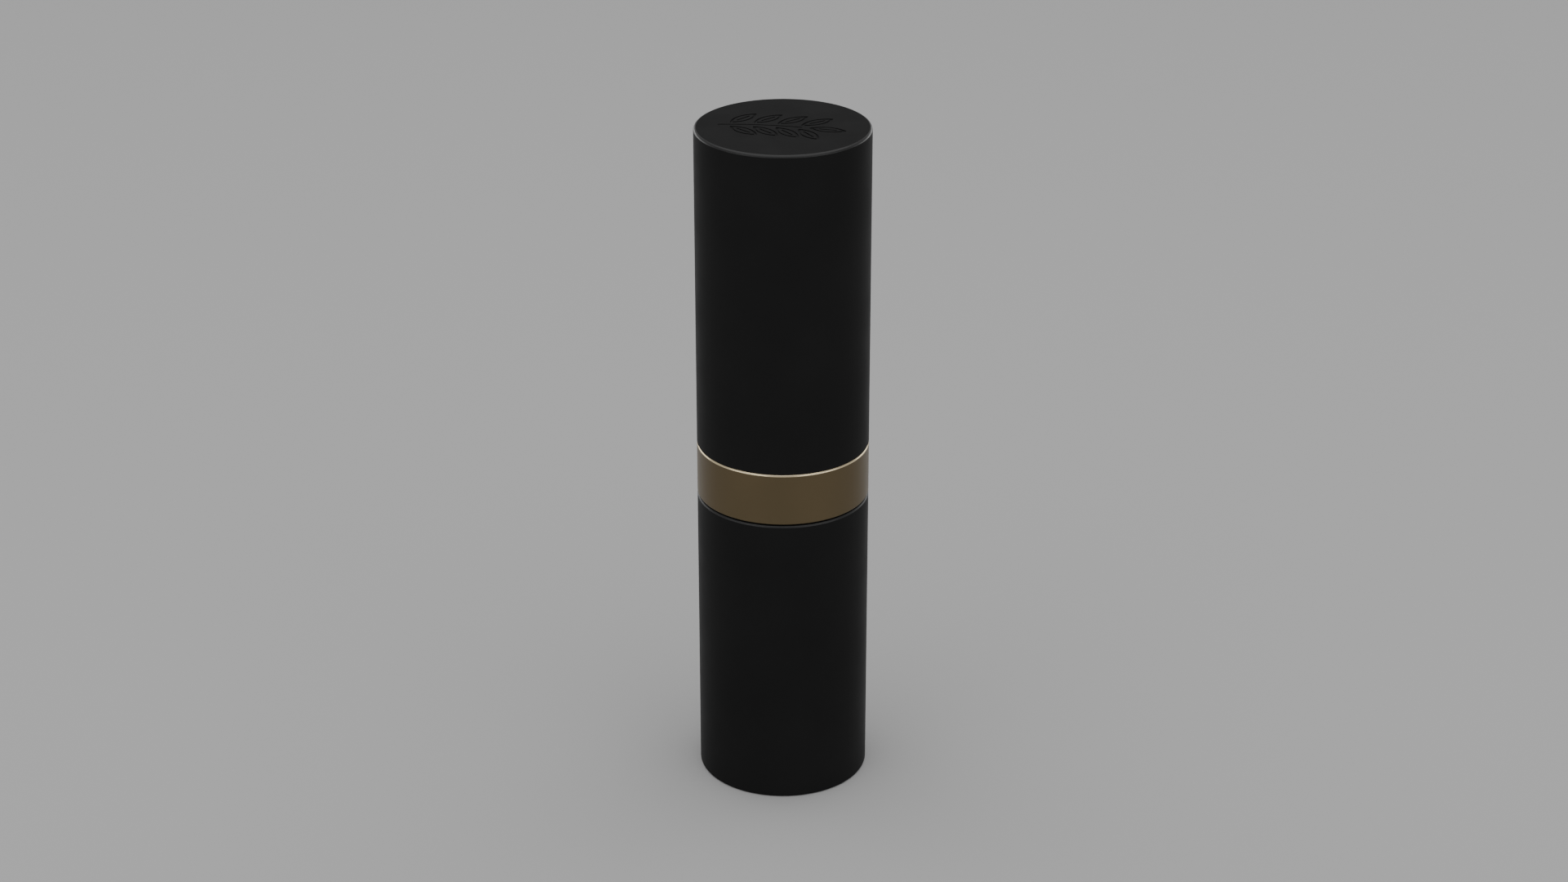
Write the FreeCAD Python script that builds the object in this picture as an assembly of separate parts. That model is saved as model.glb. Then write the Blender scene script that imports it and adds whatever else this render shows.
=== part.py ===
"""Swivel lipstick case: a pull-off cap, a gold collar that turns, and a base that hides the screw mechanism.

Millimetres, +Z up the case's axis, origin at the centre of the bottom. The case is closed, with the lipstick
wound down. Turning the collar clockwise, seen from above, on a base held still winds the lipstick up: the
cup's two lugs are held by the straight slots of the fork tube, and the helical slots of the cam lift them.

Radii are worked out from the outside inwards and heights from the bottom upwards, each from a wall, a
length or a clearance that is named below.
"""

import FreeCAD
import Part
import math
import os

# ---- Overall sizes
CASE_DIAMETER = 19.5
BASE_HEIGHT = 34.9           # black base shell
BAND_HEIGHT = 6.18           # gold band
SLEEVE_EXPOSED = 15.4        # gold sleeve standing above the band
STROKE = 20.0                # travel of the lipstick
TURNS = 1.5                  # turns of the collar for the whole stroke

# ---- Clearances
SLIP_GAP = 0.12              # between the turning collar and the still base
RUNNING = 0.10               # radial, between parts that turn or slide in each other
GLUE = 0.05                  # radial and axial, between parts pressed or glued together
CUP_FIT = 0.025              # radial, of the pomade cup in the elevator and the lipstick in the cup
SLEEVE_GAP = 0.15            # radial, between the cap liner's bore and the sleeve
CAP_SLIDE = 0.03             # radial, between the cap liner's grip ribs and the sleeve
SEAL_GAP = 0.02              # axial, between the drag ring and the cam it rubs on
HEADROOM = 0.6               # between the raised lipstick and the closed cap

# ---- Cap
CAP_WALL = 0.6
CAP_TOP = 0.7
CAP_TOP_ROUND = 0.35
LINER_WALL = 0.65
LINER_TOP = 0.8
LINER_SETBACK = 0.3          # liner's mouth above the cap's rim
LINER_LEAD_IN = 0.35         # radial
LINER_LEAD_HEIGHT = 0.7
CAP_WEIGHT_THICK = 1.2
CAP_WEIGHT_BEVEL = 0.3
CAP_WEIGHT_MARGIN = 0.8      # radial, inside the shell's bore
GRIP_RIBS = 12
GRIP_RIB_WIDTH = 0.7
GRIP_RIB_LENGTH = 9.0
GRIP_RIB_START = 1.2         # above the liner's mouth

# ---- Engraved leaf sprig on the cap's top
SPRIG_LENGTH = 14.2
SPRIG_TURN = -6.5            # degrees
ENGRAVE_DEPTH = 0.15
ENGRAVE_LINE = 0.24
LEAF_PAIRS = 4
LEAF_LENGTH = 4.2
LEAF_WIDTH = 1.65
LEAF_ANGLE = 46.0            # degrees from the stem
LEAF_START = 0.8             # from the stem's end to its first pair of leaves
LEAF_SPACING = 2.55
LEAF_FOOT = 0.8              # from the stem's middle line to a leaf's foot
MIDRIB_LENGTH = 2.0
STEM_BOW = 0.35              # rise of the stem's arc

# ---- Turning collar and sleeve
BAND_WALL = 0.6
BAND_FLANGE = 0.5
BAND_TOP_BEVEL = 0.2
BAND_FOOT_ROUND = 0.2
COLLAR_CORE_GAP = 0.3        # below the core, above the band's lower edge
COLLAR_RIBS = 16
COLLAR_RIB_WIDTH = 0.8
COLLAR_RIB_DEPTH = 0.12
COLLAR_RIB_START = 0.3       # above the core's lower edge
SLEEVE_WALL = 0.35
SLEEVE_LIP_MARGIN = 0.3      # radial, between the lip and the pomade cup's bore
SLEEVE_ROUND = 0.7
SLEEVE_LIP_ROUND = 0.14
CAM_WALL = 0.55
CAM_TOP_SPACE = 2.3          # between the cam and the underside of the sleeve's lip
CAM_CHAMFER = 0.25

# ---- Fork tube
FORK_WALL = 0.5
FORK_FLANGE = 2.0
FORK_TOP_SPACE = 1.2         # between the fork and the underside of the sleeve's lip
FORK_BEAD_RISE = 0.35        # how far the snap bead stands out over the cam's top
FORK_BEAD_HEIGHT = 0.5       # of the bead's straight edge
FORK_SLOT_OVERRUN = 0.25     # past the lug at each end of its travel
SPIGOT_RADIUS = 4.7
SPIGOT_LENGTH = 7.0
SPIGOT_WALL = 1.1
SPIGOT_KEYS = 8
SPIGOT_KEY_WIDTH = 1.1
SPIGOT_KEY_RISE = 0.6
RING_WIDTH = 0.6             # drag ring
RING_DEPTH = 0.8
RING_INSET = 0.35            # ring's groove from the flange's edge

# ---- Cup and lipstick
LUG_RADIUS = 1.0
LUG_HEIGHT = 1.4             # centre of the lugs above the bottom of the elevator
LUG_SETBACK = 0.15           # inside the cam's outer face
CUP_HEIGHT = 12.0
CUP_TOP_GAP = 0.45           # below the sleeve's lip when wound up
CUP_FLOOR_GAP = 0.6          # above the fork's flange when wound down
ELEVATOR_WALL = 0.5
ELEVATOR_FLOOR = 1.0
ELEVATOR_HOLE = 2.0          # radius
POMADE_WALL = 0.22
POMADE_FLOOR = 0.3
POMADE_RIM = 0.3             # thickness of the rolled rim
POMADE_RIM_ROUND = 0.15
HOLD_RIBS = 4
HOLD_RIB_WIDTH = 0.5
HOLD_RIB_RISE = 0.35
HOLD_RIB_SETBACK = 1.4       # below the pomade cup's rim
HOLD_RIB_TURN = 45.0         # degrees from the lugs
TIP_BELOW_RIM = 1.6
TIP_BEHIND_AXIS = 3.0        # how far behind the axis the highest point is
TIP_SLOPE = 52.0             # of the slanted face, degrees from level
TIP_OGIVE_RADIUS = 15.0      # of the curve that rounds the tip's sides
TIP_EDGE_ROUND = 0.5

# ---- Base
SHELL_WALL = 0.6
SHELL_TOP_ROUND = 0.18
SHELL_FOOT_ROUND = 0.3
SHELL_FOOT_LIP = 1.5         # turned-in foot, measured inwards from the outside
PLUG_SETBACK = 0.15          # plug's face above the shell's foot
PLUG_THICK = 1.0             # above the turned-in foot
LABEL_RADIUS = 7.0
LABEL_THICK = 0.14
LABEL_RECESS = 0.2
WEIGHT_HEIGHT = 6.0
WEIGHT_HOLE = 2.2            # radius
WEIGHT_BEVEL = 0.6
CORE_TOP_GAP = 0.3           # core below the shell's top edge
CORE_WEB = 2.5
CORE_SKIRT_WALL = 0.6
CORE_SOCKET_WALL = 0.9
CORE_RIBS = 6
CORE_RIB_WIDTH = 0.8

# ---- Radii, from the outside inwards
case_r = CASE_DIAMETER / 2
cap_bore_r = case_r - CAP_WALL
liner_r = cap_bore_r - GLUE
liner_bore_r = liner_r - LINER_WALL
sleeve_r = liner_bore_r - SLEEVE_GAP
rib_tip_r = sleeve_r + CAP_SLIDE
sleeve_bore_r = sleeve_r - SLEEVE_WALL
cam_r = sleeve_bore_r - GLUE
cam_bore_r = cam_r - CAM_WALL
fork_r = cam_bore_r - RUNNING
fork_bore_r = fork_r - FORK_WALL
elevator_r = fork_bore_r - RUNNING
elevator_bore_r = elevator_r - ELEVATOR_WALL
pomade_r = elevator_bore_r - CUP_FIT
pomade_bore_r = pomade_r - POMADE_WALL
lipstick_r = pomade_bore_r - CUP_FIT
shell_bore_r = case_r - SHELL_WALL
core_r = shell_bore_r - GLUE
core_bore_r = sleeve_r + RUNNING
band_bore_r = case_r - BAND_WALL
collar_core_r = band_bore_r - GLUE
sleeve_seat_r = sleeve_r + GLUE
foot_lip_r = case_r - SHELL_FOOT_LIP

# ---- Heights, from the bottom upwards
plug_top_z = SHELL_WALL + PLUG_THICK
weight_z = plug_top_z + GLUE
weight_top_z = weight_z + WEIGHT_HEIGHT
band_z = BASE_HEIGHT + SLIP_GAP
band_top_z = band_z + BAND_HEIGHT
rim_z = band_top_z + SLEEVE_EXPOSED
lip_z = rim_z - SLEEVE_WALL
cup_top_z = lip_z - CUP_TOP_GAP - STROKE
elevator_z = cup_top_z - CUP_HEIGHT
lug_z = elevator_z + LUG_HEIGHT
flange_top_z = elevator_z - CUP_FLOOR_GAP
flange_z = flange_top_z - FORK_FLANGE
spigot_z = flange_z - SPIGOT_LENGTH
cam_z = flange_top_z + SLIP_GAP
cam_top_z = lip_z - CAM_TOP_SPACE
fork_top_z = lip_z - FORK_TOP_SPACE
pomade_z = elevator_z + ELEVATOR_FLOOR + GLUE
tip_z = rim_z - TIP_BELOW_RIM
ceiling_z = tip_z + STROKE + HEADROOM
liner_top_z = ceiling_z + LINER_TOP
cap_weight_z = liner_top_z + GLUE
cap_inner_top_z = cap_weight_z + CAP_WEIGHT_THICK + GLUE
case_height = cap_inner_top_z + CAP_TOP

LEAD = STROKE / TURNS
SLOT_WIDTH = 2 * (LUG_RADIUS + RUNNING)
OVERCUT = 1.0                # how far cutting tools run past the faces that they open

Z_AXIS = FreeCAD.Vector(0, 0, 1)
ORIGIN = FreeCAD.Vector(0, 0, 0)


def turned(*corners):
    """Solid of revolution about Z.

    Each corner of its half section is (radius, height), or (radius, height, rounding) where it is rounded.
    """
    points = [FreeCAD.Vector(c[0], 0, c[1]) for c in corners]
    rounds = [c[2] if len(c) > 2 else 0 for c in corners]
    ends, arcs = [], []
    for i, corner in enumerate(points):
        if not rounds[i]:
            ends.append((corner, corner))
            arcs.append(None)
            continue
        back = (points[i - 1] - corner).normalize()
        ahead = (points[(i + 1) % len(points)] - corner).normalize()
        half_angle = back.getAngle(ahead) / 2
        reach = rounds[i] / math.tan(half_angle)
        inwards = (back + ahead).normalize()
        middle = corner + inwards * (rounds[i] / math.sin(half_angle) - rounds[i])
        start, end = corner + back * reach, corner + ahead * reach
        ends.append((start, end))
        arcs.append(Part.Arc(start, middle, end).toShape())
    edges = []
    for i, (_, leaving) in enumerate(ends):
        if arcs[i]:
            edges.append(arcs[i])
        arriving = ends[(i + 1) % len(ends)][0]
        if leaving.distanceToPoint(arriving) > 1e-6:
            edges.append(Part.makeLine(leaving, arriving))
    return Part.Face(Part.Wire(edges)).revolve(ORIGIN, Z_AXIS, 360)


def tube(outer, bore, bottom, top):
    """Plain tube about Z."""
    return turned((bore, bottom), (outer, bottom), (outer, top), (bore, top))


def disc(radius, bottom, top):
    """Plain disc about Z."""
    return Part.makeCylinder(radius, top - bottom, FreeCAD.Vector(0, 0, bottom))


def around(shape, count, start=0.0):
    """Equally spaced copies of shape about Z, the first turned by start degrees."""
    copies = []
    for i in range(count):
        copy = shape.copy()
        copy.rotate(ORIGIN, Z_AXIS, start + 360.0 * i / count)
        copies.append(copy)
    return copies


def radial_bar(inner, outer, width, bottom, top):
    """Bar of that width along +X, from the inner to the outer radius."""
    return Part.makeBox(outer - inner, width, top - bottom, FreeCAD.Vector(inner, -width / 2, bottom))


def radial_pin(radius, inner, outer, height):
    """Round pin along +X at that height, from the inner to the outer radius."""
    return Part.makeCylinder(radius, outer - inner, FreeCAD.Vector(inner, 0, height), FreeCAD.Vector(1, 0, 0))


def ribbed(body, ribs, envelope):
    """Body with ribs fused on, each rib trimmed to the envelope."""
    trimmed = [rib.common(envelope) for rib in ribs]
    return body.fuse(trimmed).removeSplitter()


def spigot_section(clearance, bottom, top):
    """Round spigot with key ribs, grown by the clearance all round."""
    keys = around(
        radial_bar(
            SPIGOT_RADIUS / 2,
            SPIGOT_RADIUS + SPIGOT_KEY_RISE + clearance,
            SPIGOT_KEY_WIDTH + 2 * clearance,
            bottom,
            top,
        ),
        SPIGOT_KEYS,
    )
    return disc(SPIGOT_RADIUS + clearance, bottom, top).fuse(keys).removeSplitter()


# ---- Cap


def leaf_prism(inset, bottom, height):
    """Prism with the outline of a pointed leaf along +X, drawn that far inside the leaf's own outline."""
    foot_x, half_width = LEAF_FOOT + inset * LEAF_LENGTH / LEAF_WIDTH, LEAF_WIDTH / 2 - inset
    tip_x = 2 * LEAF_FOOT + LEAF_LENGTH - foot_x
    foot, tip = FreeCAD.Vector(foot_x, 0, bottom), FreeCAD.Vector(tip_x, 0, bottom)
    left = Part.Arc(foot, FreeCAD.Vector((foot_x + tip_x) / 2, half_width, bottom), tip)
    right = Part.Arc(tip, FreeCAD.Vector((foot_x + tip_x) / 2, -half_width, bottom), foot)
    outline = Part.Wire([left.toShape(), right.toShape()])
    return Part.Face(outline).extrude(FreeCAD.Vector(0, 0, height))


def leaf_cutters(bottom, height):
    """Outline and midrib of one leaf, which grows along +X from a stem at the origin."""
    outline = leaf_prism(0, bottom, height).cut(leaf_prism(ENGRAVE_LINE, bottom, height))
    midrib_x = LEAF_FOOT + (LEAF_LENGTH - MIDRIB_LENGTH) / 2
    midrib = Part.makeBox(
        MIDRIB_LENGTH, ENGRAVE_LINE, height, FreeCAD.Vector(midrib_x, -ENGRAVE_LINE / 2, bottom)
    )
    return [outline, midrib]


def sprig_cutters():
    """The engraved sprig: a bowed stem, pairs of leaves along it and one leaf at its end, none touching."""
    bottom, height = case_height - ENGRAVE_DEPTH, ENGRAVE_DEPTH + OVERCUT
    stem_start = -SPRIG_LENGTH / 2
    stem_end = SPRIG_LENGTH / 2 - LEAF_LENGTH - LEAF_FOOT
    stem_middle = (stem_start + stem_end) / 2
    half_stem = (stem_end - stem_start) / 2
    bow_radius = (half_stem**2 + STEM_BOW**2) / (2 * STEM_BOW)
    half_sweep = math.asin(half_stem / bow_radius)
    bow_centre = FreeCAD.Vector(stem_middle, STEM_BOW / 2 - bow_radius, bottom)

    outside = Part.makeCylinder(
        bow_radius + ENGRAVE_LINE / 2, height, bow_centre, Z_AXIS, 2 * math.degrees(half_sweep)
    )
    stem = outside.cut(Part.makeCylinder(bow_radius - ENGRAVE_LINE / 2, height, bow_centre))
    stem.rotate(bow_centre, Z_AXIS, 90 - math.degrees(half_sweep))
    cutters = [stem]

    def add_leaf(along, turn):
        """Leaf that grows from the stem at that X, turned by that many degrees from it."""
        lean = math.asin((along - stem_middle) / bow_radius)
        for shape in leaf_cutters(bottom, height):
            shape.rotate(ORIGIN, Z_AXIS, turn - math.degrees(lean))
            shape.translate(FreeCAD.Vector(along, bow_centre.y + bow_radius * math.cos(lean), 0))
            cutters.append(shape)

    add_leaf(stem_end, 0)
    for pair in range(LEAF_PAIRS):
        for side in (1, -1):
            add_leaf(stem_end - LEAF_START - pair * LEAF_SPACING, side * LEAF_ANGLE)
    for shape in cutters:
        shape.rotate(ORIGIN, Z_AXIS, SPRIG_TURN)
    return cutters


def cap_shell():
    """Drawn aluminium cap with the engraved sprig on its top."""
    shell = turned(
        (cap_bore_r, band_top_z),
        (case_r, band_top_z),
        (case_r, case_height, CAP_TOP_ROUND),
        (0, case_height),
        (0, cap_inner_top_z),
        (cap_bore_r, cap_inner_top_z),
    )
    for cutter in sprig_cutters():
        shell = shell.cut(cutter)
    return shell


def cap_liner():
    """Moulded liner, with the ribs that grip the sleeve."""
    mouth_z = band_top_z + LINER_SETBACK
    liner = turned(
        (liner_bore_r + LINER_LEAD_IN, mouth_z),
        (liner_r, mouth_z),
        (liner_r, liner_top_z),
        (0, liner_top_z),
        (0, ceiling_z),
        (liner_bore_r, ceiling_z),
        (liner_bore_r, mouth_z + LINER_LEAD_HEIGHT),
    )
    rib_z = mouth_z + GRIP_RIB_START
    rib = radial_bar(rib_tip_r / 2, liner_bore_r + GLUE, GRIP_RIB_WIDTH, rib_z, rib_z + GRIP_RIB_LENGTH)
    envelope = tube(liner_bore_r + GLUE, rib_tip_r, rib_z, rib_z + GRIP_RIB_LENGTH)
    return ribbed(liner, around(rib, GRIP_RIBS), envelope)


def cap_weight():
    """Steel disc between the liner and the shell, which gives the cap its heft."""
    edge_r = cap_bore_r - CAP_WEIGHT_MARGIN
    top_z = cap_weight_z + CAP_WEIGHT_THICK
    return turned(
        (0, cap_weight_z),
        (edge_r - CAP_WEIGHT_BEVEL, cap_weight_z),
        (edge_r, cap_weight_z + CAP_WEIGHT_BEVEL),
        (edge_r, top_z - CAP_WEIGHT_BEVEL),
        (edge_r - CAP_WEIGHT_BEVEL, top_z),
        (0, top_z),
    )


# ---- Turning collar and sleeve


def collar_band():
    """Gold band: an outer skirt, and a flange that shows when the cap is off."""
    return turned(
        (band_bore_r, band_z),
        (case_r, band_z, BAND_FOOT_ROUND),
        (case_r, band_top_z - BAND_TOP_BEVEL),
        (case_r - BAND_TOP_BEVEL, band_top_z),
        (sleeve_seat_r, band_top_z),
        (sleeve_seat_r, band_top_z - BAND_FLANGE),
        (band_bore_r, band_top_z - BAND_FLANGE),
    )


def collar_core():
    """Moulded ring that holds the band on the sleeve by its outer crush ribs."""
    bottom, top = band_z + COLLAR_CORE_GAP, band_top_z - BAND_FLANGE - GLUE
    body_r = collar_core_r - COLLAR_RIB_DEPTH
    ring = tube(body_r, sleeve_seat_r, bottom, top)
    rib = radial_bar(sleeve_seat_r, case_r, COLLAR_RIB_WIDTH, bottom + COLLAR_RIB_START, top)
    envelope = tube(collar_core_r, body_r - GLUE, bottom + COLLAR_RIB_START, top)
    return ribbed(ring, around(rib, COLLAR_RIBS), envelope)


def cover_sleeve():
    """Gold sleeve over the mechanism, rolled in at its rim."""
    lip_bore_r = pomade_bore_r + SLEEVE_LIP_MARGIN
    return turned(
        (sleeve_bore_r, cam_z),
        (sleeve_r, cam_z),
        (sleeve_r, rim_z, SLEEVE_ROUND),
        (lip_bore_r, rim_z, SLEEVE_LIP_ROUND),
        (lip_bore_r, lip_z),
        (sleeve_bore_r, lip_z, SLEEVE_ROUND - SLEEVE_WALL),
    )


def helical_slot(start_angle):
    """Cutters for one slot of the cam: the helix, and a pocket for the lug at each end of it."""
    middle_r = (cam_r + cam_bore_r) / 2
    depth = 2 * (middle_r - elevator_r)
    helix = Part.makeHelix(LEAD, STROKE, middle_r)
    lean = math.atan(LEAD / (2 * math.pi * middle_r))
    across = FreeCAD.Vector(0, -math.sin(lean), math.cos(lean)) * (SLOT_WIDTH / 2)
    outwards = FreeCAD.Vector(depth / 2, 0, 0)
    start = FreeCAD.Vector(middle_r, 0, 0)
    corners = [
        start - outwards - across,
        start + outwards - across,
        start + outwards + across,
        start - outwards + across,
    ]
    profile = Part.makePolygon(corners + corners[:1])
    slot = Part.Wire(helix.Edges).makePipeShell([profile], True, True)
    pocket = radial_pin(SLOT_WIDTH / 2 + GLUE, middle_r - depth / 2, middle_r + depth / 2, 0)
    top_pocket = pocket.copy()
    top_pocket.translate(FreeCAD.Vector(0, 0, STROKE))
    top_pocket.rotate(ORIGIN, Z_AXIS, 360 * TURNS)
    cutters = [slot, pocket, top_pocket]
    for cutter in cutters:
        cutter.translate(FreeCAD.Vector(0, 0, lug_z))
        cutter.rotate(ORIGIN, Z_AXIS, start_angle)
    return cutters


def spiral_cam():
    """Tube with two helical slots, fixed in the sleeve, which lifts the cup's lugs as it turns."""
    cam = turned(
        (cam_bore_r, cam_z),
        (cam_r, cam_z),
        (cam_r, cam_top_z),
        (cam_bore_r + CAM_CHAMFER, cam_top_z),
        (cam_bore_r, cam_top_z - CAM_CHAMFER),
    )
    for start_angle in (0, 180):
        for cutter in helical_slot(start_angle):
            cam = cam.cut(cutter)
    return cam


# ---- Base


def base_shell():
    """Drawn aluminium base, with its foot turned in under the plug."""
    return turned(
        (foot_lip_r, 0),
        (case_r, 0, SHELL_FOOT_ROUND),
        (case_r, BASE_HEIGHT, SHELL_TOP_ROUND),
        (shell_bore_r, BASE_HEIGHT),
        (shell_bore_r, SHELL_WALL),
        (foot_lip_r, SHELL_WALL),
    )


def foot_plug():
    """Moulded plug that closes the foot, with a recess for the label."""
    boss_r = foot_lip_r - GLUE
    recess_r = LABEL_RADIUS + GLUE
    return turned(
        (0, PLUG_SETBACK + LABEL_RECESS),
        (recess_r, PLUG_SETBACK + LABEL_RECESS),
        (recess_r, PLUG_SETBACK),
        (boss_r, PLUG_SETBACK),
        (boss_r, SHELL_WALL + GLUE),
        (core_r, SHELL_WALL + GLUE),
        (core_r, plug_top_z),
        (0, plug_top_z),
    )


def shade_label():
    """Printed sticker in the plug's recess."""
    top = PLUG_SETBACK + LABEL_RECESS
    return disc(LABEL_RADIUS, top - LABEL_THICK, top)


def base_weight():
    """Steel weight on the plug."""
    edge_r = core_r - GLUE
    return turned(
        (WEIGHT_HOLE, weight_z),
        (edge_r - WEIGHT_BEVEL, weight_z),
        (edge_r, weight_z + WEIGHT_BEVEL),
        (edge_r, weight_top_z - WEIGHT_BEVEL),
        (edge_r - WEIGHT_BEVEL, weight_top_z),
        (WEIGHT_HOLE, weight_top_z),
    )


def base_core():
    """Moulded core: the sleeve's bearing, a web with the fork's keyed socket, and a ribbed skirt."""
    bottom = weight_top_z + GLUE
    top = BASE_HEIGHT - CORE_TOP_GAP
    web_top = flange_z - GLUE
    web_z = web_top - CORE_WEB
    skirt_bore_r = core_r - CORE_SKIRT_WALL
    socket_r = SPIGOT_RADIUS + SPIGOT_KEY_RISE + GLUE + CORE_SOCKET_WALL
    socket_z = spigot_z
    core = turned(
        (skirt_bore_r, bottom),
        (core_r, bottom),
        (core_r, top),
        (core_bore_r, top),
        (core_bore_r, web_top),
        (0, web_top),
        (0, socket_z),
        (socket_r, socket_z),
        (socket_r, web_z),
        (skirt_bore_r, web_z),
    )
    rib = radial_bar(0, core_r, CORE_RIB_WIDTH, socket_z, web_z)
    envelope = tube(skirt_bore_r + GLUE, socket_r - GLUE, socket_z, web_z)
    core = ribbed(core, around(rib, CORE_RIBS), envelope)
    return core.cut(spigot_section(GLUE, socket_z - OVERCUT, web_top + OVERCUT))


def fork_tube():
    """Tube with two straight slots that stop the cup from turning, on a flange and a keyed spigot."""
    flange_r = core_bore_r - GLUE
    bead_z = cam_top_z + RUNNING
    bead_r = cam_bore_r + FORK_BEAD_RISE
    tower = turned(
        (0, flange_z),
        (flange_r, flange_z),
        (flange_r, flange_top_z),
        (fork_r, flange_top_z),
        (fork_r, bead_z),
        (bead_r, bead_z),
        (bead_r, bead_z + FORK_BEAD_HEIGHT),
        (fork_r, fork_top_z),
        (fork_bore_r, fork_top_z),
        (fork_bore_r, flange_top_z),
        (0, flange_top_z),
    )
    fork = tower.fuse(spigot_section(0, spigot_z, flange_z)).removeSplitter()
    fork = fork.cut(disc(SPIGOT_RADIUS - SPIGOT_WALL, spigot_z - OVERCUT, flange_top_z + OVERCUT))
    slot_z, slot_top_z = lug_z - FORK_SLOT_OVERRUN, lug_z + STROKE + FORK_SLOT_OVERRUN
    slot = radial_bar(elevator_bore_r, cam_r, SLOT_WIDTH, slot_z, slot_top_z)
    ends = [radial_pin(SLOT_WIDTH / 2, elevator_bore_r, cam_r, z) for z in (slot_z, slot_top_z)]
    for cutter in around(slot.fuse(ends).removeSplitter(), 2):
        fork = fork.cut(cutter)
    return fork.cut(ring_groove(0))


def ring_groove(clearance):
    """Section of the drag ring's groove in the flange, less the clearance."""
    outer = core_bore_r - GLUE - RING_INSET
    bottom = flange_top_z - RING_DEPTH + clearance
    return tube(outer - clearance, outer - RING_WIDTH + clearance, bottom, cam_z - SEAL_GAP)


def drag_ring():
    """Silicone ring in the fork's flange, which rubs on the cam and makes the turn smooth and firm."""
    return ring_groove(SEAL_GAP)


# ---- Cup and lipstick


def elevator_cup():
    """Moulded cup with two lugs, which the fork's slots guide and the cam's slots lift."""
    cup = turned(
        (ELEVATOR_HOLE, elevator_z),
        (elevator_r, elevator_z),
        (elevator_r, cup_top_z - POMADE_RIM - GLUE),
        (elevator_bore_r, cup_top_z - POMADE_RIM - GLUE),
        (elevator_bore_r, elevator_z + ELEVATOR_FLOOR),
        (ELEVATOR_HOLE, elevator_z + ELEVATOR_FLOOR),
    )
    lug = radial_pin(LUG_RADIUS, elevator_bore_r + GLUE, cam_r - LUG_SETBACK, lug_z)
    return cup.fuse(around(lug, 2)).removeSplitter()


def pomade_cup():
    """Thin gold cup inside the elevator: its rolled rim shows round the lipstick, and its ribs hold it."""
    cup = turned(
        (0, pomade_z),
        (pomade_r, pomade_z),
        (pomade_r, cup_top_z - POMADE_RIM),
        (elevator_r, cup_top_z - POMADE_RIM),
        (elevator_r, cup_top_z, POMADE_RIM_ROUND),
        (pomade_bore_r, cup_top_z),
        (pomade_bore_r, pomade_z + POMADE_FLOOR),
        (0, pomade_z + POMADE_FLOOR),
    )
    rib_z, rib_top_z = pomade_z + POMADE_FLOOR, cup_top_z - HOLD_RIB_SETBACK
    return cup.fuse(hold_ribs(HOLD_RIB_WIDTH, HOLD_RIB_RISE, rib_z, rib_top_z)).removeSplitter()


def hold_ribs(width, rise, bottom, top):
    """Ribs on the pomade cup's wall, turned away from the lugs."""
    rib = radial_bar(pomade_bore_r - rise, pomade_bore_r + POMADE_WALL / 2, width, bottom, top)
    return around(rib, HOLD_RIBS, HOLD_RIB_TURN)


def bullet():
    """The lipstick: a round stick with an ogive tip and a slanted face towards the front."""
    bottom = pomade_z + POMADE_FLOOR + GLUE
    centre_r = lipstick_r - TIP_OGIVE_RADIUS
    shoulder_z = tip_z - math.sqrt(TIP_OGIVE_RADIUS**2 - (TIP_BEHIND_AXIS - centre_r) ** 2)

    def on_ogive(angle):
        """Point of the ogive's half section, at that angle above its shoulder."""
        return FreeCAD.Vector(
            centre_r + TIP_OGIVE_RADIUS * math.cos(angle), 0, shoulder_z + TIP_OGIVE_RADIUS * math.sin(angle)
        )

    apex_angle = math.acos(-centre_r / TIP_OGIVE_RADIUS)
    shoulder, bulge, apex = on_ogive(0), on_ogive(apex_angle / 2), on_ogive(apex_angle)
    heel, edge = FreeCAD.Vector(0, 0, bottom), FreeCAD.Vector(lipstick_r, 0, bottom)
    half_section = Part.Wire(
        [
            Part.makeLine(heel, edge),
            Part.makeLine(edge, shoulder),
            Part.Arc(shoulder, bulge, apex).toShape(),
            Part.makeLine(apex, heel),
        ]
    )
    stick = Part.Face(half_section).revolve(ORIGIN, Z_AXIS, 360)
    reach = case_height
    slant = Part.makeBox(reach, reach, reach, FreeCAD.Vector(-reach / 2, -reach / 2, 0))
    slant.rotate(ORIGIN, FreeCAD.Vector(1, 0, 0), TIP_SLOPE)
    slant.translate(FreeCAD.Vector(0, TIP_BEHIND_AXIS, tip_z))
    stick = stick.cut(slant)
    stick = stick.makeFillet(TIP_EDGE_ROUND, slanted_edges(stick))
    grooves = hold_ribs(
        HOLD_RIB_WIDTH + 2 * GLUE,
        HOLD_RIB_RISE + GLUE,
        bottom - OVERCUT,
        cup_top_z - HOLD_RIB_SETBACK + GLUE,
    )
    for groove in grooves:
        stick = stick.cut(groove)
    return stick


def slanted_edges(stick):
    """Edges of the stick's slanted face: its one flat face that is not level."""
    nearly_level = math.cos(math.radians(TIP_SLOPE / 2))
    for face in stick.Faces:
        flat = face.Surface.TypeId == "Part::GeomPlane"
        if flat and abs(face.normalAt(0, 0).z) < nearly_level:
            return face.Edges
    return []


SUBPARTS = [
    cap_shell,
    cap_liner,
    cap_weight,
    collar_band,
    collar_core,
    cover_sleeve,
    spiral_cam,
    base_shell,
    foot_plug,
    shade_label,
    base_weight,
    base_core,
    fork_tube,
    drag_ring,
    elevator_cup,
    pomade_cup,
    bullet,
]


def main():
    """Write each sub-part to its STEP file."""
    os.makedirs("parts", exist_ok=True)
    for make in SUBPARTS:
        shape = make()
        shape.exportStep(os.path.join("parts", make.__name__ + ".step"))
        print(f"{make.__name__}: {shape.Volume:.1f} mm3, solids {len(shape.Solids)}, valid {shape.isValid()}")
    print(f"height {case_height:.2f}, lugs at {lug_z:.2f}, lead {LEAD:.4f}, band top {band_top_z:.2f}")


main()
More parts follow.
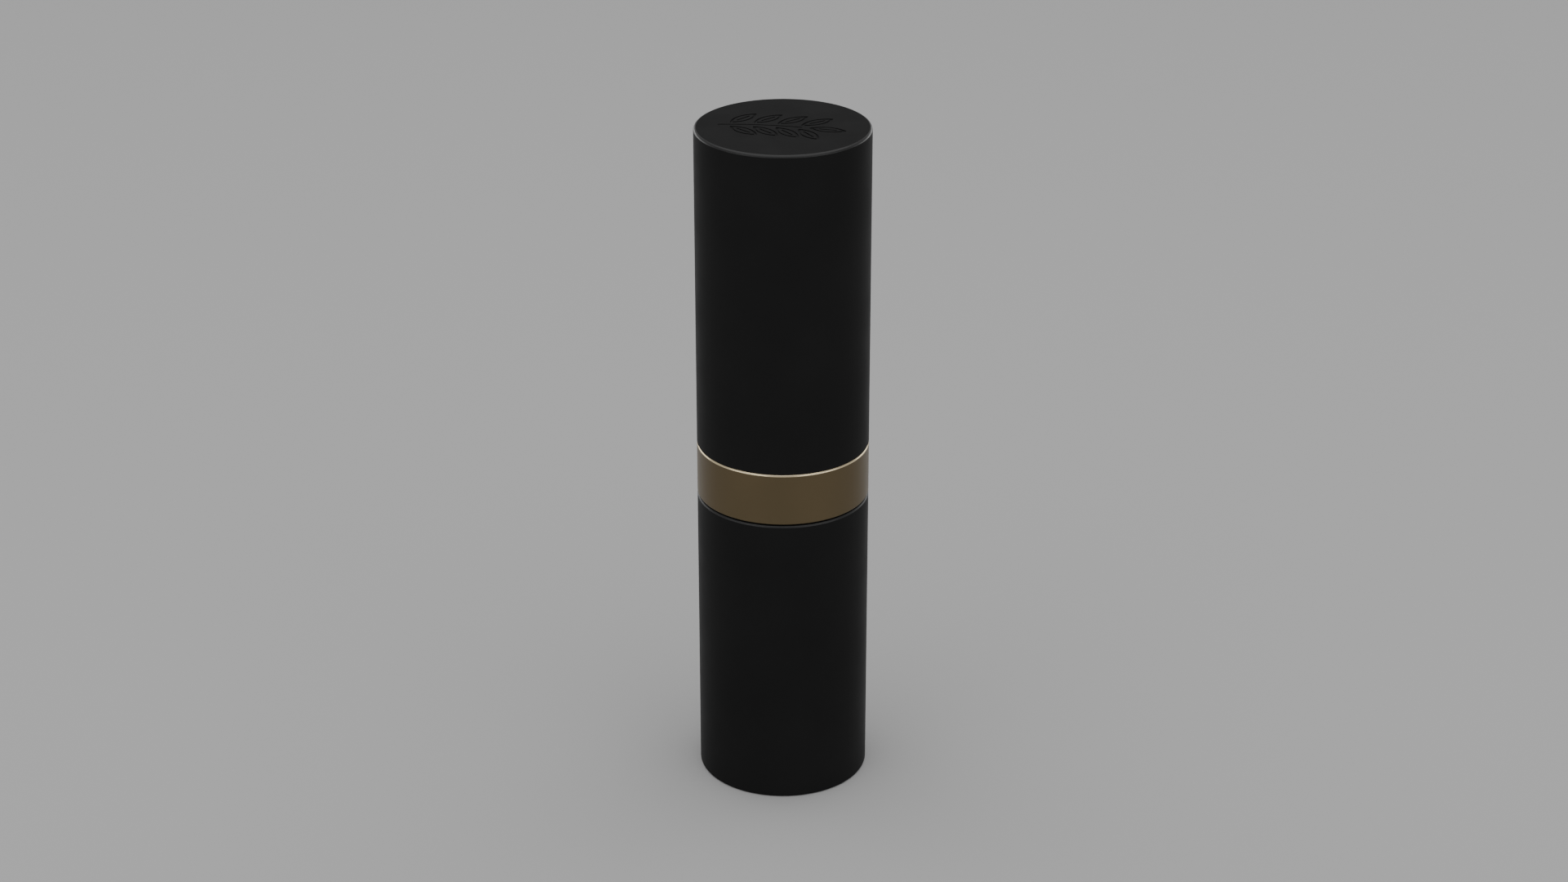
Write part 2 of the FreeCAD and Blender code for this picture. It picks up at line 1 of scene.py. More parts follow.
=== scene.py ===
"""Swivel lipstick case: every piece that shows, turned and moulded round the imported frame, and its finish."""

import logging
import math
from collections.abc import Callable, Iterable
from dataclasses import dataclass, field
from enum import Enum

import bmesh
import bpy
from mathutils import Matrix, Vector


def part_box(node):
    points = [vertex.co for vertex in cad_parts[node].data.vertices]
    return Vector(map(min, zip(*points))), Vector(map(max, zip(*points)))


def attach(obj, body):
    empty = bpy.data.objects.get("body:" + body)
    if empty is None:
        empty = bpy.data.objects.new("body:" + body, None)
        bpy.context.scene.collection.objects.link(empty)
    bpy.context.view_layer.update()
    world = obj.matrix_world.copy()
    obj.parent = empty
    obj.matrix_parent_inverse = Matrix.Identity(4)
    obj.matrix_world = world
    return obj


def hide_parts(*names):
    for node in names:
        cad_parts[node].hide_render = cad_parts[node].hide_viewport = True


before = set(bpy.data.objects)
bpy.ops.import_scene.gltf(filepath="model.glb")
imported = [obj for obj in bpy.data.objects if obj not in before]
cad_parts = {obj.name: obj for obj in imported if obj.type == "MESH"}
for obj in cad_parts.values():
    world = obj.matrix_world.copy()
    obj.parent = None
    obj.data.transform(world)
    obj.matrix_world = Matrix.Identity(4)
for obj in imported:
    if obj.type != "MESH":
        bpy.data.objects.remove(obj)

log = logging.getLogger("lipstick_case")

MM = 0.001
SIDES = 160                       # of every turned ring
SAME = 0.004 * MM                 # two places nearer than this are one place
MERGED = 0.001 * MM               # corners nearer than this are merged
CUP_FIT = 0.025 * MM              # between the lipstick and its gold cup
SHARP_ANGLE = math.radians(32)    # edges over this stay sharp
EDGE_NORMALS = (0.1, 0.98)        # upward part of a rounded edge's normals, between wall and top
ROUND_PROFILE = 0.5               # of a bevel
BAR_BEVEL_STEPS = 2
NOISE_RANGE = (0.3, 0.7)          # the values that smooth noise mostly takes
LATHE_STRETCH = (0.02, 0.02, 1.0)    # draws noise out into rings round the axis
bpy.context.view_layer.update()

Colour = tuple[float, float, float]
Place = tuple[float, float, float]
Socket = bpy.types.NodeSocket


# ---- Finishes


class Grain(Enum):
    """How a surface was worked: its fine grain's waves to the metre, and the octaves of finer noise in it."""

    BLASTED = (3600.0, 3.0)    # fine and even, as anodised metal is
    TURNED = (9000.0, 2.0)     # fine rings round the axis, as on a lathe
    FACED = (7000.0, 2.0)      # fine circles on an end face
    MOULDED = (420.0, 3.0)     # slow, faint waves


class Graph:
    """A material's nodes, with short ways to add and join them."""

    def __init__(self, name: str) -> None:
        """Start a material of that name with a bare shader."""
        self.material = bpy.data.materials.new(name)
        self.material.use_nodes = True
        self.tree = self.material.node_tree
        self.shader = next(n for n in self.tree.nodes if n.type == "BSDF_PRINCIPLED")
        self.place = self.add("ShaderNodeTexCoord").outputs["Object"]

    def add(self, kind: str, **settings: object) -> bpy.types.Node:
        """Add a node.

        Args:
            kind: The node's type name.
            settings: Its properties.

        Returns:
            The new node.
        """
        node = self.tree.nodes.new(kind)
        for name, value in settings.items():
            setattr(node, name, value)
        return node

    def feed(self, into: Socket, value: object) -> None:
        """Join a socket to an input, or set the input to a plain value."""
        if isinstance(value, Socket):
            self.tree.links.new(value, into)
        else:
            into.default_value = value

    def set(self, **inputs: object) -> None:
        """Set the shader's own inputs. An underscore stands for a space in a name."""
        for name, value in inputs.items():
            self.feed(self.shader.inputs[name.replace("_", " ")], value)

    def stretched(self, scale: Place) -> Socket:
        """The surface's place, multiplied along each axis."""
        node = self.add("ShaderNodeMapping")
        self.feed(node.inputs["Vector"], self.place)
        node.inputs["Scale"].default_value = scale
        return node.outputs["Vector"]

    def noise(self, at: Socket, scale: float, detail: float) -> Socket:
        """Smooth noise from 0 to 1.

        Args:
            at: Where it is read.
            scale: Waves to the metre, once at is in metres.
            detail: Octaves of finer noise.

        Returns:
            The noise's value.
        """
        node = self.add("ShaderNodeTexNoise")
        self.feed(node.inputs["Vector"], at)
        node.inputs["Scale"].default_value = scale
        node.inputs["Detail"].default_value = detail
        return node.outputs["Fac"]

    def math(self, operation: str, first: object, second: object = 0.0) -> Socket:
        """One sum of two values or sockets."""
        node = self.add("ShaderNodeMath", operation=operation)
        self.feed(node.inputs[0], first)
        self.feed(node.inputs[1], second)
        return node.outputs[0]

    def spread(self, value: Socket, low: float, high: float) -> Socket:
        """Map smooth noise to the range from low to high."""
        node = self.add("ShaderNodeMapRange")
        self.feed(node.inputs["Value"], value)
        node.inputs["From Min"].default_value, node.inputs["From Max"].default_value = NOISE_RANGE
        node.inputs["To Min"].default_value, node.inputs["To Max"].default_value = low, high
        return node.outputs["Result"]

    def mix(self, share: Socket, first: object, second: object) -> Socket:
        """Mix two colours by share, from the first at 0 to the second at 1."""
        node = self.add("ShaderNodeMix", data_type="RGBA")
        self.feed(node.inputs["Factor"], share)
        colours = [s for s in node.inputs if s.type == "RGBA"]
        for socket, colour in zip(colours, (first, second)):
            self.feed(socket, (*colour, 1.0) if isinstance(colour, tuple) else colour)
        return next(s for s in node.outputs if s.type == "RGBA")

    def from_axis(self) -> Socket:
        """Distance from the case's axis, in metres."""
        node = self.add("ShaderNodeVectorMath", operation="LENGTH")
        self.feed(node.inputs[0], self.stretched((1.0, 1.0, 0.0)))
        return node.outputs["Value"]

    def relief(self, height: Socket, depth: float, strength: float) -> None:
        """Raise the surface by height, which runs from 0 to 1, times depth in metres."""
        node = self.add("ShaderNodeBump")
        node.inputs["Strength"].default_value = strength
        node.inputs["Distance"].default_value = depth
        self.feed(node.inputs["Height"], height)
        self.set(Normal=node.outputs["Normal"])


def grain_height(graph: Graph, grain: Grain) -> Socket:
    """Height of a worked surface's fine grain.

    Args:
        graph: The material.
        grain: How the surface was worked.

    Returns:
        The height, from 0 to 1.
    """
    at = graph.place
    if grain is Grain.TURNED:
        at = graph.stretched(LATHE_STRETCH)
    elif grain is Grain.FACED:
        rings = graph.add("ShaderNodeCombineXYZ")
        graph.feed(rings.inputs["X"], graph.from_axis())
        at = rings.outputs["Vector"]
    return graph.noise(at, *grain.value)


@dataclass(frozen=True)
class Finish:
    """What every finish shares: its name, its colour and the wear and grain of its surface."""

    name: str
    colour: Colour
    roughness: float
    grain: Grain
    grain_depth: float = 4e-6    # metres
    grain_strength: float = 0.25
    roughness_spread: float = 0.05
    colour_spread: float = 0.08
    cloud: tuple[float, float] = (90.0, 4.0)        # the colour's waves to the metre, and octaves
    handling: tuple[float, float] = (260.0, 3.0)    # the roughness's

    def start(self) -> Graph:
        """Start the material with the colour, roughness and grain, each varied a little over the surface."""
        graph = Graph(self.name)
        cloud = graph.noise(graph.place, *self.cloud)
        darker = tuple(c * (1 - self.colour_spread) for c in self.colour)
        lighter = tuple(c * (1 + self.colour_spread) for c in self.colour)
        graph.set(Base_Color=graph.mix(graph.spread(cloud, 0.0, 1.0), darker, lighter))
        handling = graph.noise(graph.place, *self.handling)
        low, high = self.roughness - self.roughness_spread, self.roughness + self.roughness_spread
        graph.set(Roughness=graph.spread(handling, low, high))
        graph.relief(grain_height(graph, self.grain), self.grain_depth, self.grain_strength)
        return graph

    def material(self) -> bpy.types.Material:
        """Make the material."""
        return self.start().material


@dataclass(frozen=True)
class Anodised(Finish):
    """Anodised or bare metal. A black dye hides the metal, so it is given as no metal at all."""

    metallic: float = 1.0
    specular: float = 0.5

    def material(self) -> bpy.types.Material:
        """Make the material."""
        graph = self.start()
        graph.set(Metallic=self.metallic, Specular_IOR_Level=self.specular)
        return graph.material


@dataclass(frozen=True)
class Moulded(Finish):
    """Injection-moulded plastic, which lets a little light in where it is pale."""

    scatter: float = 0.0
    scatter_reach: float = 0.8 * MM

    def material(self) -> bpy.types.Material:
        """Make the material."""
        graph = self.start()
        graph.set(Subsurface_Weight=self.scatter, Subsurface_Scale=self.scatter_reach)
        return graph.material


@dataclass(frozen=True)
class Wax(Finish):
    """Lipstick: dense coloured wax with a soft sheen, faint waves and a slight bloom."""

    scatter: float = 0.12
    scatter_reach: float = 0.6 * MM
    scatter_colour: Colour = (1.0, 0.25, 0.2)
    sheen: float = 0.06
    sheen_roughness: float = 0.4
    specular: float = 0.45

    def material(self) -> bpy.types.Material:
        """Make the material."""
        graph = self.start()
        graph.set(Subsurface_Weight=self.scatter, Subsurface_Scale=self.scatter_reach)
        graph.set(Subsurface_Radius=self.scatter_colour, Specular_IOR_Level=self.specular)
        graph.set(Sheen_Weight=self.sheen, Sheen_Roughness=self.sheen_roughness)
        return graph.material


@dataclass(frozen=True)
class PrintedLabel(Finish):
    """Sticker with a ring and a swatch of the lipstick's shade printed on it."""

    ink: Colour = (0.03, 0.03, 0.03)
    swatch: Colour = (0.3, 0.02, 0.04)
    swatch_radius: float = 2.4 * MM
    ring_radius: float = 6.0 * MM
    ring_width: float = 0.25 * MM

    def material(self) -> bpy.types.Material:
        """Make the material."""
        graph = self.start()
        radius = graph.from_axis()
        off_ring = graph.math("ABSOLUTE", graph.math("SUBTRACT", radius, self.ring_radius))
        on_ring = graph.math("LESS_THAN", off_ring, self.ring_width)
        on_swatch = graph.math("LESS_THAN", radius, self.swatch_radius)
        printed = graph.mix(on_ring, self.colour, self.ink)
        graph.set(Base_Color=graph.mix(on_swatch, printed, self.swatch))
        return graph.material


BLACK_SATIN = Anodised(
    "black_satin_anodised", (0.0150, 0.0150, 0.0151), 0.42, Grain.BLASTED,
    grain_depth=3e-6, grain_strength=0.16, roughness_spread=0.03, metallic=0.0, specular=0.03,
)
BLACK_EDGE = Anodised(
    "black_burnished_edge", (0.014, 0.014, 0.0142), 0.3, Grain.TURNED,
    grain_depth=1e-6, grain_strength=0.1, roughness_spread=0.03, metallic=0.0, specular=0.42,
)
GOLD_SATIN = Anodised(
    "gold_satin_anodised", (0.158, 0.121, 0.069), 0.36, Grain.TURNED,
    grain_depth=3e-6, grain_strength=0.3, roughness_spread=0.03, colour_spread=0.03,
)
# Partly real, partly painted highlight: the band's rounded top edge is polished smoother, and its gold is
# painted far lighter than the band's own so that the edge reads as a bright highlight line.
GOLD_POLISH_AND_HIGHLIGHT = Anodised(
    "gold_polished_edge_painted_highlight", (0.96, 0.81, 0.53), 0.2, Grain.TURNED,
    grain_depth=1e-6, grain_strength=0.15, roughness_spread=0.02, colour_spread=0.02,
)
BLACK_PLASTIC = Moulded("black_moulded", (0.016, 0.016, 0.017), 0.5, Grain.MOULDED, grain_depth=8e-6)
WHITE_PLASTIC = Moulded(
    "white_moulded", (0.72, 0.71, 0.67), 0.38, Grain.MOULDED,
    grain_depth=8e-6, scatter=0.25, colour_spread=0.03,
)
TURNED_STEEL = Anodised("turned_steel", (0.45, 0.45, 0.46), 0.3, Grain.FACED, grain_strength=0.35)
SILICONE = Moulded("silicone", (0.5, 0.5, 0.52), 0.62, Grain.MOULDED, scatter=0.3)
ROSE_WAX = Wax(
    "rose_wax", (0.34, 0.022, 0.035), 0.34, Grain.MOULDED,
    grain_depth=14e-6, grain_strength=0.3, roughness_spread=0.06, colour_spread=0.06,
)
LABEL = PrintedLabel("shade_label_print", (0.62, 0.6, 0.57), 0.5, Grain.MOULDED)


class Paints:
    """Makes each finish's material once and hands it out again after that."""

    def __init__(self) -> None:
        """Start with no material made."""
        self.made: dict[str, bpy.types.Material] = {}

    def material(self, finish: Finish) -> bpy.types.Material:
        """The material of a finish."""
        if finish.name not in self.made:
            self.made[finish.name] = finish.material()
        return self.made[finish.name]

    def dress(self, piece: bpy.types.Object, finish: Finish) -> None:
        """Give a piece one finish all over."""
        piece.data.materials.clear()
        piece.data.materials.append(self.material(finish))


PAINTS = Paints()


# ---- Modelling


def deselect_all() -> None:
    """Leave nothing selected, in object mode."""
    if bpy.context.object and bpy.context.object.mode != "OBJECT":
        bpy.ops.object.mode_set(mode="OBJECT")
    bpy.ops.object.select_all(action="DESELECT")


def make_active(piece: bpy.types.Object) -> None:
    """Select one piece alone and make it the active one."""
    deselect_all()
    piece.select_set(True)
    bpy.context.view_layer.objects.active = piece


class Edit:
    """Edit mode on one piece, as a with block, with ways to select by place or normal."""

    def __init__(self, piece: bpy.types.Object) -> None:
        """Take the piece to edit."""
        self.piece = piece

    def __enter__(self) -> "Edit":
        """Open edit mode with nothing selected."""
        make_active(self.piece)
        bpy.ops.object.mode_set(mode="EDIT")
        bpy.ops.mesh.select_mode(type="VERT")
        bpy.ops.mesh.select_all(action="DESELECT")
        return self

    def __exit__(self, *_: object) -> None:
        """Go back to object mode."""
        bpy.ops.object.mode_set(mode="OBJECT")

    def clear(self, mode: str) -> bmesh.types.BMesh:
        """Select nothing, in that select mode.

        Args:
            mode: The select mode's name.

        Returns:
            The mesh, to choose from.
        """
        bpy.ops.mesh.select_mode(type=mode)
        bpy.ops.mesh.select_all(action="DESELECT")
        return bmesh.from_edit_mesh(self.piece.data)

    def choose(self, elements: Iterable[bmesh.types.BMEdge | bmesh.types.BMFace]) -> None:
        """Select those edges or faces."""
        for element in elements:
            element.select = True
        bmesh.update_edit_mesh(self.piece.data)

    def edges(self, wanted: Callable[[bmesh.types.BMEdge], bool]) -> None:
        """Select just the edges that are wanted."""
        mesh = self.clear("EDGE")
        self.choose([edge for edge in mesh.edges if wanted(edge)])

    def faces(self, wanted: Callable[[bmesh.types.BMFace], bool]) -> None:
        """Select just the faces that are wanted."""
        mesh = self.clear("FACE")
        self.choose([face for face in mesh.faces if wanted(face)])


def on_ring(edge: bmesh.types.BMEdge, radius: float, height: float) -> bool:
    """Whether an edge lies on the ring of that radius and height."""
    return all(
        abs(math.hypot(v.co.x, v.co.y) - radius) < SAME and abs(v.co.z - height) < SAME for v in edge.verts
    )


@dataclass(frozen=True)
class Corner:
    """A corner of a turned piece's half section."""

    radius: float
    height: float
    rounding: float = 0.0
    steps: int = 5


class Turning:
    """A turned piece, made from a ring that is extruded from corner to corner of its half section."""

    def __init__(self, name: str, corners: list[Corner]) -> None:
        """Turn the piece.

        Args:
            name: The piece's name.
            corners: Its half section, in order. A corner on the axis closes the piece with a flat face.
        """
        rings = [c for c in corners if c.radius > 0]
        first = rings[0]
        deselect_all()
        bpy.ops.mesh.primitive_circle_add(
            vertices=SIDES, radius=first.radius, fill_type="NOTHING", location=(0, 0, first.height)
        )
        self.piece = bpy.context.object
        self.piece.name = name
        bpy.ops.object.transform_apply(location=True, rotation=True, scale=True)
        starts_on_axis, ends_on_axis = corners[0].radius == 0, corners[-1].radius == 0
        bpy.ops.object.mode_set(mode="EDIT")
        bpy.ops.mesh.select_all(action="SELECT")
        if starts_on_axis:
            bpy.ops.mesh.edge_face_add()
        for before, after in zip(rings, rings[1:]):
            self.extrude_ring(before, after)
        if ends_on_axis:
            bpy.ops.mesh.edge_face_add()
        else:
            self.extrude_ring(rings[-1], first)
        bpy.ops.mesh.select_all(action="SELECT")
        bpy.ops.mesh.remove_doubles(threshold=MERGED)
        bpy.ops.mesh.normals_make_consistent(inside=False)
        bpy.ops.object.mode_set(mode="OBJECT")
        for corner in rings:
            if corner.rounding:
                self.round_off(corner)

    @staticmethod
    def extrude_ring(before: Corner, after: Corner) -> None:
        """Extrude the selected ring from one corner to the next."""
        bpy.ops.mesh.extrude_edges_move(
            TRANSFORM_OT_translate={"value": (0, 0, after.height - before.height)}
        )
        scale = after.radius / before.radius
        bpy.ops.transform.resize(value=(scale, scale, 1), center_override=(0, 0, after.height))

    def round_off(self, corner: Corner) -> None:
        """Round one corner off."""
        with Edit(self.piece) as edit:
            edit.edges(lambda e: on_ring(e, corner.radius, corner.height))
            bpy.ops.mesh.bevel(
                offset=corner.rounding, offset_type="OFFSET", segments=corner.steps,
                profile=ROUND_PROFILE, affect="EDGES",
            )


def apply_modifier(piece: bpy.types.Object, kind: str, **settings: object) -> None:
    """Add a modifier to a piece and apply it.

    Args:
        piece: The piece.
        kind: The modifier's type.
        settings: Its properties.
    """
    make_active(piece)
    modifier = piece.modifiers.new(kind.lower(), kind)
    for name, value in settings.items():
        setattr(modifier, name, value)
    bpy.ops.object.modifier_apply(modifier=modifier.name)


def radial_bar(
    inner: float, outer: float, width: float, low: float, high: float, turn: float, bevel: float = 0.0
) -> bpy.types.Object:
    """Bar that points away from the axis.

    Args:
        inner: Radius that it starts at.
        outer: Radius that it ends at.
        width: Its width.
        low: Its lowest height.
        high: Its highest height.
        turn: Where it is, in radians about the axis.
        bevel: Bevel of its edges, if any.

    Returns:
        The bar.
    """
    deselect_all()
    bpy.ops.mesh.primitive_cube_add(size=1, location=((inner + outer) / 2, 0, (low + high) / 2))
    bar = bpy.context.object
    bar.scale = (outer - inner, width, high - low)
    bpy.ops.object.transform_apply(location=True, rotation=True, scale=True)
    if bevel:
        apply_modifier(bar, "BEVEL", width=bevel, segments=BAR_BEVEL_STEPS, limit_method="ANGLE")
    bar.rotation_euler = (0, 0, turn)
    bpy.ops.object.transform_apply(location=True, rotation=True, scale=True)
    return bar


def combine(piece: bpy.types.Object, tool: bpy.types.Object, how: str) -> None:
    """Combine a piece with a tool by a boolean, and remove the tool."""
    apply_modifier(piece, "BOOLEAN", operation=how, object=tool, solver="EXACT")
    bpy.data.objects.remove(tool)


def smooth(piece: bpy.types.Object) -> None:
    """Shade a piece smooth, with its sharp edges kept sharp and its flat faces kept flat."""
    make_active(piece)
    bpy.ops.object.shade_smooth_by_angle(angle=SHARP_ANGLE)
    apply_modifier(piece, "WEIGHTED_NORMAL", keep_sharp=True)


def finish_edge(piece: bpy.types.Object, finish: Finish, above: float) -> None:
    """Give the rounded edge that a piece has above some height a finish of its own.

    Args:
        piece: The piece, already dressed.
        finish: The edge's finish.
        above: The height that its faces start from.
    """
    piece.data.materials.append(PAINTS.material(finish))
    least, most = EDGE_NORMALS
    with Edit(piece) as edit:
        edit.faces(lambda f: least < f.normal.z < most and f.calc_center_median().z > above)
        piece.active_material_index = len(piece.data.materials) - 1
        bpy.ops.object.material_slot_assign()


def fit(piece: bpy.types.Object, body: str, slot: str, *nodes: str) -> None:
    """Put a finished piece in the frame.

    Args:
        piece: The piece.
        body: The CAD body it rides on.
        slot: A material slot's name; not used.
        nodes: The CAD nodes it stands for.
    """
    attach(piece, body)
    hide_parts(*nodes)
    log.info("%s rides on %s, %d faces", piece.name, body, len(piece.data.polygons))


def radius_of(node: str) -> float:
    """Outer radius of a CAD node."""
    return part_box(node)[1].x


def bottom_of(node: str) -> float:
    """Lowest height of a CAD node."""
    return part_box(node)[0].z


def top_of(node: str) -> float:
    """Highest height of a CAD node."""
    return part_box(node)[1].z


# ---- Cap


@dataclass
class Sprig:
    """Leaf sprig engraved on the cap's top: a bowed stem, pairs of leaves and one leaf at its end."""

    length: float = 14.2 * MM
    turn: float = math.radians(-6.5)
    depth: float = 0.08 * MM
    line: float = 0.19 * MM
    slab_height: float = 1.0 * MM
    midrib_length: float = 2.0 * MM
    leaf_start: float = 0.8 * MM
    stem_strips: int = 14
    strip_overlap: float = 1.01    # each strip's length over its share of the stem
    pairs: int = 4
    leaf_length: float = 4.2 * MM
    leaf_width: float = 1.65 * MM
    leaf_angle: float = math.radians(46)
    leaf_spacing: float = 2.55 * MM
    leaf_foot: float = 0.8 * MM
    bow: float = 0.35 * MM
    arc_sides: int = 200

    def slab(self, name: str, radius: float, centre: Vector, top: float) -> bpy.types.Object:
        """A round slab that reaches from the engraving's floor to well over the top."""
        deselect_all()
        height = self.slab_height
        bpy.ops.mesh.primitive_cylinder_add(
            vertices=self.arc_sides, radius=radius, depth=height,
            location=(centre.x, centre.y, top - self.depth + height / 2),
        )
        slab = bpy.context.object
        slab.name = name
        bpy.ops.object.transform_apply(location=True, rotation=True, scale=True)
        return slab

    def bar(self, name: str, size: tuple[float, float], centre: Vector, top: float) -> bpy.types.Object:
        """A straight slab of that length and width, as deep as the round ones."""
        deselect_all()
        height = self.slab_height
        bpy.ops.mesh.primitive_cube_add(size=1, location=(centre.x, centre.y, top - self.depth + height / 2))
        bar = bpy.context.object
        bar.name = name
        bar.scale = (*size, height)
        bpy.ops.object.transform_apply(location=True, rotation=True, scale=True)
        return bar

    def lens(self, name: str, inset: float, top: float) -> bpy.types.Object:
        """The space that two round slabs share: a leaf's outline, drawn that far inside it."""
        half_width = self.leaf_width / 2 - inset
        half_length = self.leaf_length / 2 * half_width / (self.leaf_width / 2)
        radius = (half_length**2 + half_width**2) / (2 * half_width)
        middle = self.leaf_foot + self.leaf_length / 2
        left = self.slab(name, radius, Vector((middle, half_width - radius, 0)), top)
        right = self.slab(name + "_right", radius, Vector((middle, radius - half_width, 0)), top)
        combine(left, right, "INTERSECT")
        return left

    def leaf(self, top: float) -> bpy.types.Object:
        """One leaf, outline and midrib, that grows along +X from the axis."""
        outline = self.lens("leaf", 0.0, top)
        combine(outline, self.lens("leaf_inside", self.line, top), "DIFFERENCE")
        middle = Vector((self.leaf_foot + self.leaf_length / 2, 0, 0))
        midrib = self.bar("midrib", (self.midrib_length, self.line), middle, top)
        make_active(outline)
        midrib.select_set(True)
        bpy.ops.object.join()
        return outline

    def cutter(self, top: float) -> bpy.types.Object:
        """The whole sprig as one cutter.

        Args:
            top: Height of the face that it engraves.

        Returns:
            The cutter.
        """
        stem_start, stem_end = -self.length / 2, self.length / 2 - self.leaf_length - self.leaf_foot
        stem_middle, half_stem = (stem_start + stem_end) / 2, (stem_end - stem_start) / 2
        bow_radius = (half_stem**2 + self.bow**2) / (2 * self.bow)
        bow_y = self.bow / 2 - bow_radius
        strips = self.stem_strips
        parts = []
        for strip in range(strips):
            along = stem_start + (strip + 0.5) * (stem_end - stem_start) / strips
            lean = math.asin((along - stem_middle) / bow_radius)
            place = Vector((along, bow_y + bow_radius * math.cos(lean), 0))
            part = self.bar("stem", (2 * self.strip_overlap * half_stem / strips, self.line), Vector(), top)
            self.put(part, place, -lean)
            parts.append(part)
        stem = parts[0]
        for part in parts[1:]:
            combine(stem, part, "UNION")
        cutters = [stem]
        model = self.leaf(top)
        places = [(stem_end, 0.0)]
        for pair in range(self.pairs):
            along = stem_end - self.leaf_start - pair * self.leaf_spacing
            places += [(along, self.leaf_angle), (along, -self.leaf_angle)]
        for along, turn in places:
            lean = math.asin((along - stem_middle) / bow_radius)
            leaf = model.copy()
            leaf.data = model.data.copy()
            bpy.context.scene.collection.objects.link(leaf)
            self.put(leaf, Vector((along, bow_y + bow_radius * math.cos(lean), 0)), turn - lean)
            cutters.append(leaf)
        bpy.data.objects.remove(model)
        make_active(stem)
        for cutter in cutters:
            cutter.select_set(True)
        bpy.ops.object.join()
        self.put(stem, Vector(), self.turn)
        return stem

    @staticmethod
    def put(piece: bpy.types.Object, place: Vector, turn: float) -> None:
        """Turn a piece about the axis and move it, in its mesh."""
        make_active(piece)
        piece.rotation_euler = (0, 0, turn)
        piece.location = place
        bpy.ops.object.transform_apply(location=True, rotation=True, scale=True)


@dataclass
class Cap:
    """Pull-off cap: a drawn shell over a moulded liner, with a steel weight between them."""

    radius: float = radius_of("cap_shell")
    bottom: float = bottom_of("cap_shell")
    top: float = top_of("cap_shell")
    wall: float = 0.6 * MM
    top_wall: float = 0.7 * MM
    top_round: float = 0.35 * MM
    mouth_round: float = 0.08 * MM
    liner_wall: float = 0.65 * MM
    liner_top_wall: float = 0.8 * MM
    ceiling_round: float = 0.2 * MM
    lead_in: float = 0.35 * MM
    grip_ribs: int = 12
    grip_rib_width: float = 0.7 * MM
    grip_rib_rise: float = 0.12 * MM
    grip_rib_length: float = 9.0 * MM
    grip_rib_start: float = 1.2 * MM
    grip_rib_bevel: float = 0.08 * MM
    sprig: Sprig = field(default_factory=Sprig)

    def build_shell(self) -> None:
        """Turn the shell, engrave its top and dress it."""
        bore = self.radius - self.wall
        inner_top = self.top - self.top_wall
        shell = Turning(
            "cap_shell_finished",
            [
                Corner(0, inner_top),
                Corner(bore, inner_top),
                Corner(bore, self.bottom),
                Corner(self.radius, self.bottom, self.mouth_round, steps=3),
                Corner(self.radius, self.top, self.top_round, steps=8),
                Corner(0, self.top),
            ],
        ).piece
        cutter = self.sprig.cutter(self.top)
        combine(shell, cutter, "DIFFERENCE")
        PAINTS.dress(shell, BLACK_SATIN)
        finish_edge(shell, BLACK_EDGE, self.top - self.top_round)
        smooth(shell)
        fit(shell, "cap", "black_aluminium", "cap_shell")

    def build_liner(self) -> None:
        """Turn the liner, add the ribs that grip the sleeve and dress it."""
        radius, mouth, top = radius_of("cap_liner"), bottom_of("cap_liner"), top_of("cap_liner")
        bore, ceiling = radius - self.liner_wall, top - self.liner_top_wall
        liner = Turning(
            "cap_liner_finished",
            [
                Corner(0, ceiling),
                Corner(bore, ceiling, self.ceiling_round, steps=4),
                Corner(bore, mouth + 2 * self.lead_in),
                Corner(bore + self.lead_in, mouth),
                Corner(radius, mouth),
                Corner(radius, top),
                Corner(0, top),
            ],
        ).piece
        low = mouth + self.grip_rib_start
        for rib in range(self.grip_ribs):
            turn = 2 * math.pi * (rib + 0.5) / self.grip_ribs
            bar = radial_bar(
                bore - self.grip_rib_rise, bore + self.grip_rib_rise, self.grip_rib_width,
                low, low + self.grip_rib_length, turn, self.grip_rib_bevel,
            )
            combine(liner, bar, "UNION")
        smooth(liner)
        PAINTS.dress(liner, BLACK_PLASTIC)
        fit(liner, "cap", "black_plastic", "cap_liner")

    def build(self) -> None:
        """Build the cap."""
        self.build_shell()
        self.build_liner()
        PAINTS.dress(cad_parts["cap_weight"], TURNED_STEEL)


# ---- Turning collar and sleeve


